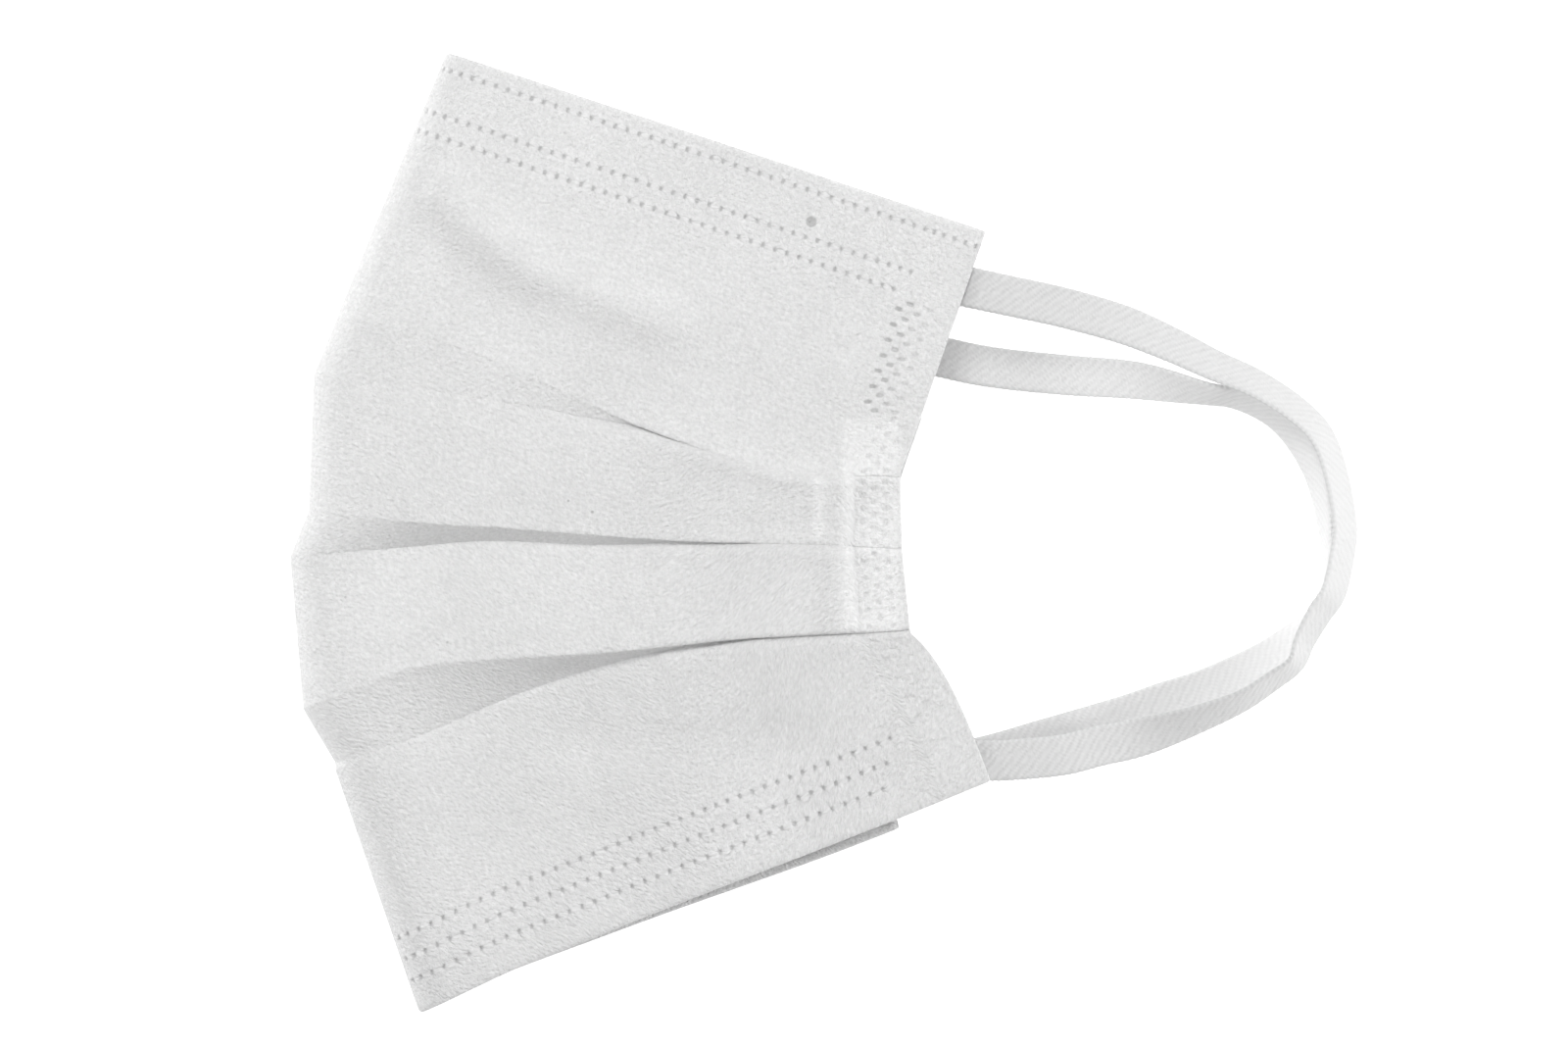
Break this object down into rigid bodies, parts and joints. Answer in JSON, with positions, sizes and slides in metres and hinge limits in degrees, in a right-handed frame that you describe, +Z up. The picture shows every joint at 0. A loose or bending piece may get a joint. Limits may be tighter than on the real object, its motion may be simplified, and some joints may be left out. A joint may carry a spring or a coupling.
{
  "type": "surgical face mask",
  "caption": "Pleated surgical face mask folded in half along its nose-to-chin line and lying flat, pleats fanned open at the centre fold, flat knitted ear loops beside it.",
  "frame": {"origin": "bottom centre of the bounding box, on the surface the mask lies on", "axes": "+Z up, away from the surface, +X from the centre fold towards the ear loops, +Y towards the nose edge"},
  "size_m": [0.1656, 0.1492, 0.0151],
  "materials": {
    "nonwoven_cloth": "matt white nonwoven cloth with a fine bonded point pattern",
    "hem_cloth": "matt white nonwoven cloth, turned in",
    "knitted_band": "white knitted elastic band with slanting ribs"
  },
  "bodies": {
    "root": {"mask_body": "nonwoven_cloth", "top_hem": "hem_cloth", "bottom_hem": "hem_cloth", "ear_loop_near": "knitted_band", "ear_loop_far": "knitted_band"}
  },
  "joints": []
}
